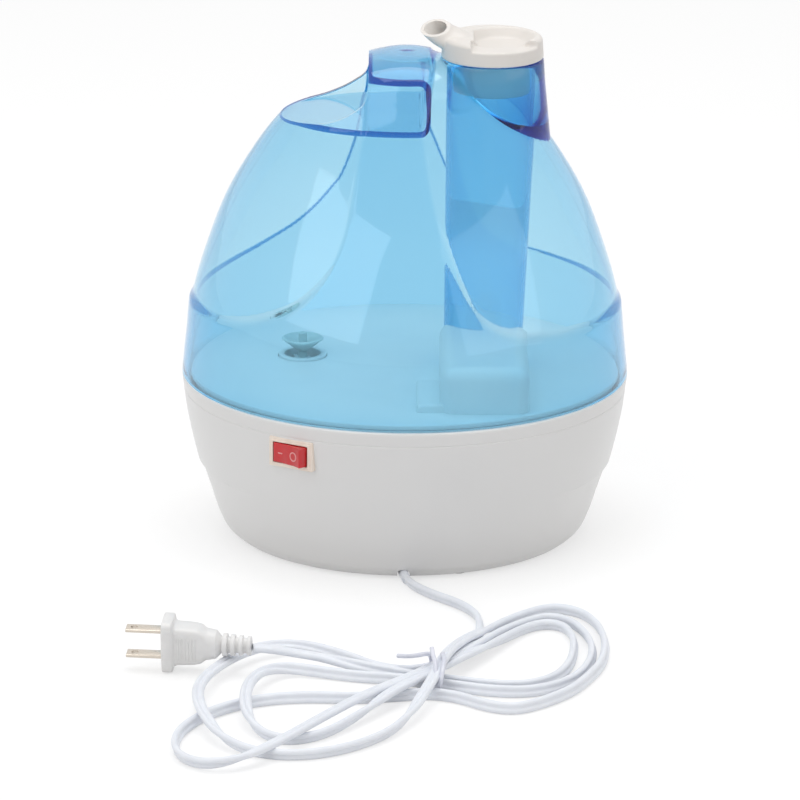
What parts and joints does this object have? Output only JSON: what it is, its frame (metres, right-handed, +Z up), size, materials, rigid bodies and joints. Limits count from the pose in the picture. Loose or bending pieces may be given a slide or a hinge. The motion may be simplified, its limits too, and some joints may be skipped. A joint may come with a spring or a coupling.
{
  "type": "cool mist humidifier",
  "caption": "Tabletop ultrasonic cool mist humidifier: round base with rocker switch, lift-off clear tank with hand pocket, turning spout, and a tied flat cord with plug.",
  "frame": {"origin": "on the floor, below the middle of the round base", "axes": "+Z up, the switch side faces -Y, the mist chimney and nozzle are towards +X"},
  "size_m": [0.2351, 0.4643, 0.256],
  "materials": {
    "white_abs": "satin",
    "grey_rubber": "matte",
    "zinc_steel": "satin",
    "piezo_ceramic": "satin",
    "clamp_aluminium": "satin",
    "board_green": "gloss",
    "black_pbt": "matte",
    "float_foam": "matte",
    "cream_nylon": "gloss",
    "terminal_brass": "polished",
    "rocker_red": "gloss",
    "blue_san": "gloss, clear tint",
    "white_tank": "satin",
    "clear_silicone": "satin, slightly clear",
    "white_nozzle": "gloss",
    "cord_pvc": "satin",
    "tie_film": "satin",
    "plug_pvc": "satin",
    "nickel_brass": "polished"
  },
  "bodies": {
    "base": {"base_shell": "white_abs", "bottom_cover": "white_abs", "rubber_feet": "grey_rubber", "cover_screws": "zinc_steel", "base_deck": "white_abs", "transducer_disc": "piezo_ceramic", "transducer_seal": "grey_rubber", "transducer_clamp": "clamp_aluminium", "driver_board": "board_green", "heat_sink": "clamp_aluminium", "fan_frame": "black_pbt", "switch_housing": "cream_nylon", "switch_terminals": "terminal_brass", "cord_gland": "cord_pvc", "cord_lead": "cord_pvc", "cord_bundle": "cord_pvc", "cord_tie": "tie_film", "plug_tail": "cord_pvc", "plug_body": "plug_pvc", "plug_blades": "nickel_brass"},
    "fan": {"fan_rotor": "black_pbt"},
    "float": {"float_ring": "float_foam"},
    "rocker": {"switch_rocker": "rocker_red"},
    "tank": {"tank_dome": "blue_san", "mist_chimney": "blue_san", "tank_floor": "white_tank"},
    "cap": {"fill_cap": "white_tank", "cap_gasket": "grey_rubber"},
    "valve": {"valve_plunger": "clear_silicone"},
    "nozzle": {"mist_nozzle": "white_nozzle"}
  },
  "joints": [
    {"name": "tank_lift", "type": "slide", "parent": "base", "child": "tank", "axis": [0, 0, 1], "range_m": [0, 0.2]},
    {"name": "nozzle_turn", "type": "hinge", "parent": "tank", "child": "nozzle", "pos_m": [0.041, 0, 0.236], "axis": [0, 0, 1], "continuous": true},
    {"name": "rocker_tilt", "type": "hinge", "parent": "base", "child": "rocker", "pos_m": [-0.05362, -0.09288, 0.065], "axis": [0, 0, 1], "range_deg": [0, 26]},
    {"name": "fill_cap_turn", "type": "hinge", "parent": "tank", "child": "cap", "pos_m": [-0.05, 0.012, 0.07], "axis": [0, 0, 1], "range_deg": [-180, 0]},
    {"name": "valve_push", "type": "slide", "parent": "cap", "child": "valve", "axis": [0, 0, 1], "range_m": [0, 0.0015]},
    {"name": "float_rise", "type": "slide", "parent": "base", "child": "float", "axis": [0, 0, 1], "range_m": [0, 0.0065]},
    {"name": "fan_spin", "type": "hinge", "parent": "base", "child": "fan", "pos_m": [0.0376, 0, 0.012], "axis": [0, 0, 1], "continuous": true}
  ]
}
